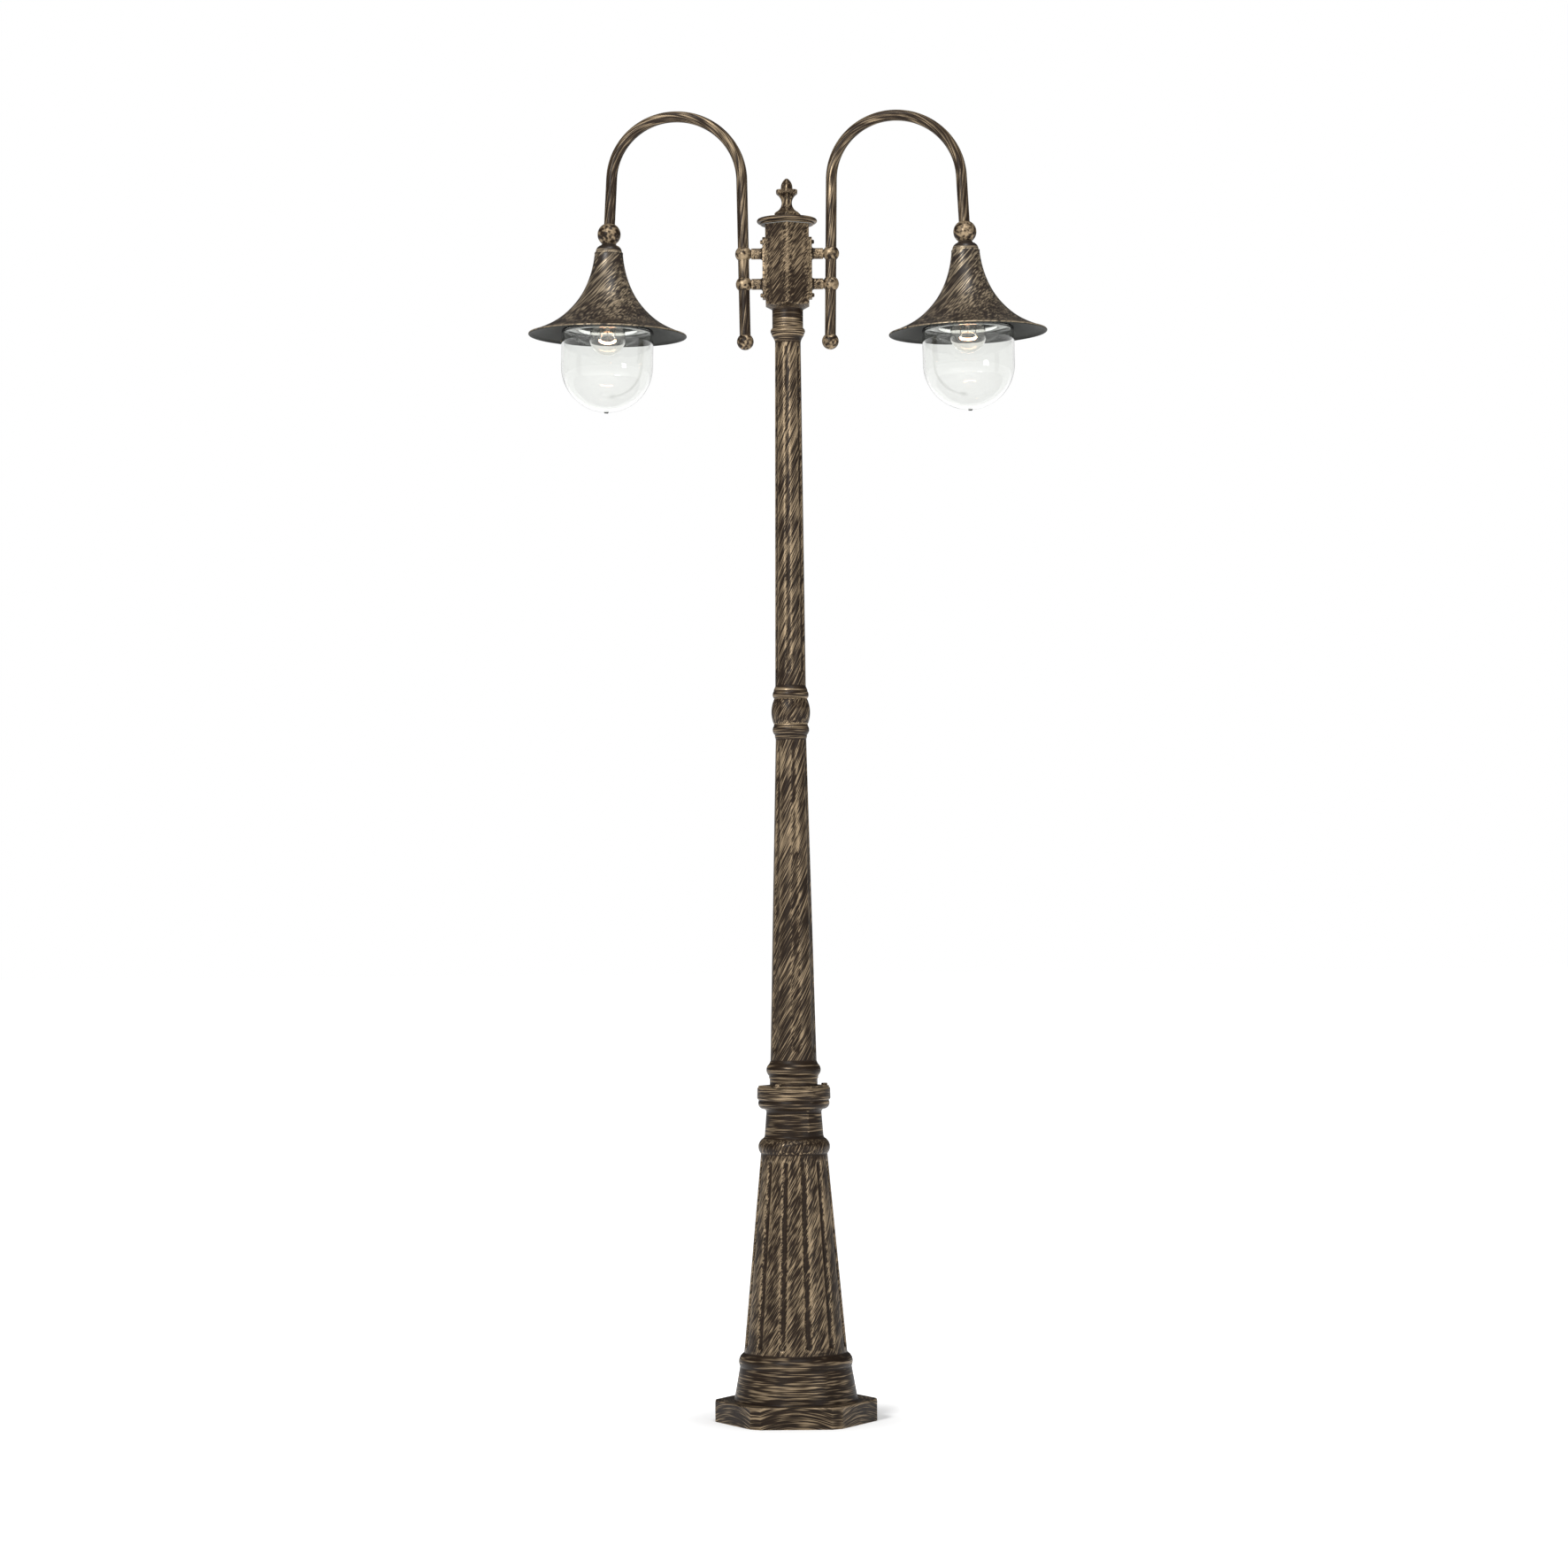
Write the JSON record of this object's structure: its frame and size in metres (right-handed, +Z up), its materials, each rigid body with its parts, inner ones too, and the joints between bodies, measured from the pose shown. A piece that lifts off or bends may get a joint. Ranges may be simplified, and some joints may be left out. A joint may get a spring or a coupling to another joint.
{
  "type": "twin lantern garden lamp post",
  "caption": "Free-standing garden lamp post with a fluted tapered column, two hooked arms, flared shades, clear globes and screw-in filament bulbs.",
  "frame": {"origin": "middle of the foot plate's underside", "axes": "+Z up the post; the arms lie along +X and -X; -Y is the front"},
  "size_m": [0.8518, 0.26, 2.145],
  "materials": {
    "bronzed_casting": "dark bronze paint with gold dry brushing, on sand-cast aluminium",
    "bronzed_tube": "dark bronze paint with gold dry brushing, on tube and turned balls",
    "bronzed_shade": "dark bronze paint with gold dry brushing, on a spun shell",
    "bare_aluminium": "spun, satin",
    "zinc_steel": "zinc plated, painted over where it shows",
    "sealing_rubber": "matt",
    "cable_sheath": "satin sheath",
    "terminal_plastic": "moulded",
    "porcelain": "glazed, opaque",
    "clear_glass": "clear, blown",
    "bulb_glass": "clear, thin",
    "brass": "pressed, satin"
  },
  "bodies": {
    "post": {"pedestal": "bronzed_casting", "flange_bolts": "zinc_steel", "column_lower": "bronzed_casting", "coupling": "bronzed_casting", "joint_sleeve": "zinc_steel", "column_upper": "bronzed_casting", "head_box": "bronzed_casting", "cap_gasket": "sealing_rubber", "head_cap": "bronzed_casting", "cap_screws": "zinc_steel", "finial": "bronzed_casting", "finial_stud": "zinc_steel", "terminal_block": "terminal_plastic", "riser_cable": "cable_sheath", "inlet_connector": "cable_sheath", "bracket_screws": "zinc_steel", "set_screws": "zinc_steel", "locknuts": "zinc_steel", "arm_left": "bronzed_tube", "bracket_plate_left": "bronzed_tube", "clamp_upper_left": "bronzed_tube", "clamp_lower_left": "bronzed_tube", "end_ball_left": "bronzed_tube", "lamp_wire_left": "cable_sheath", "knuckle_left": "bronzed_tube", "nipple_left": "zinc_steel", "shade_cap_left": "bronzed_tube", "shade_left": "bronzed_shade", "gallery_left": "bare_aluminium", "lampholder_left": "porcelain", "arm_right": "bronzed_tube", "bracket_plate_right": "bronzed_tube", "clamp_upper_right": "bronzed_tube", "clamp_lower_right": "bronzed_tube", "end_ball_right": "bronzed_tube", "lamp_wire_right": "cable_sheath", "knuckle_right": "bronzed_tube", "nipple_right": "zinc_steel", "shade_cap_right": "bronzed_tube", "shade_right": "bronzed_shade", "gallery_right": "bare_aluminium", "lampholder_right": "porcelain"},
    "globe_seal_left": {"gasket_left": "sealing_rubber"},
    "globe_left": {"globe_left": "clear_glass"},
    "bulb_contact_left": {"contact_left": "brass"},
    "bulb_left": {"bulb_glass_left": "bulb_glass", "bulb_cap_left": "brass", "bulb_mount_left": "bulb_glass"},
    "globe_seal_right": {"gasket_right": "sealing_rubber"},
    "globe_right": {"globe_right": "clear_glass"},
    "bulb_contact_right": {"contact_right": "brass"},
    "bulb_right": {"bulb_glass_right": "bulb_glass", "bulb_cap_right": "brass", "bulb_mount_right": "bulb_glass"}
  },
  "joints": [
    {"name": "globe_left_drop", "type": "slide", "parent": "post", "child": "globe_seal_left", "axis": [-0.0218, 0, -0.9998], "range_m": [0, 0.00752]},
    {"name": "globe_left_turn", "type": "hinge", "parent": "globe_seal_left", "child": "globe_left", "pos_m": [-0.29559, 0, 1.79004], "axis": [-0.0218, 0, -0.9998], "range_deg": [0, 540]},
    {"name": "bulb_left_drop", "type": "slide", "parent": "post", "child": "bulb_contact_left", "axis": [-0.0218, 0, -0.9998], "range_m": [0, 0.00292]},
    {"name": "bulb_left_turn", "type": "hinge", "parent": "bulb_contact_left", "child": "bulb_left", "pos_m": [-0.29493, 0, 1.82003], "axis": [-0.0218, 0, -0.9998], "range_deg": [0, 288]},
    {"name": "globe_right_drop", "type": "slide", "parent": "post", "child": "globe_seal_right", "axis": [0.0218, 0, -0.9998], "range_m": [0, 0.00752]},
    {"name": "globe_right_turn", "type": "hinge", "parent": "globe_seal_right", "child": "globe_right", "pos_m": [0.29559, 0, 1.79004], "axis": [0.0218, 0, -0.9998], "range_deg": [0, 540]},
    {"name": "bulb_right_drop", "type": "slide", "parent": "post", "child": "bulb_contact_right", "axis": [0.0218, 0, -0.9998], "range_m": [0, 0.00292]},
    {"name": "bulb_right_turn", "type": "hinge", "parent": "bulb_contact_right", "child": "bulb_right", "pos_m": [0.29493, 0, 1.82003], "axis": [0.0218, 0, -0.9998], "range_deg": [0, 288]}
  ],
  "couplings": [
    {"joint": "globe_left_drop", "follows": "globe_left_turn", "m_per_rad": 0.00079577},
    {"joint": "bulb_left_drop", "follows": "bulb_left_turn", "m_per_rad": 0.00057757},
    {"joint": "globe_right_drop", "follows": "globe_right_turn", "m_per_rad": 0.00079577},
    {"joint": "bulb_right_drop", "follows": "bulb_right_turn", "m_per_rad": 0.00057757}
  ]
}
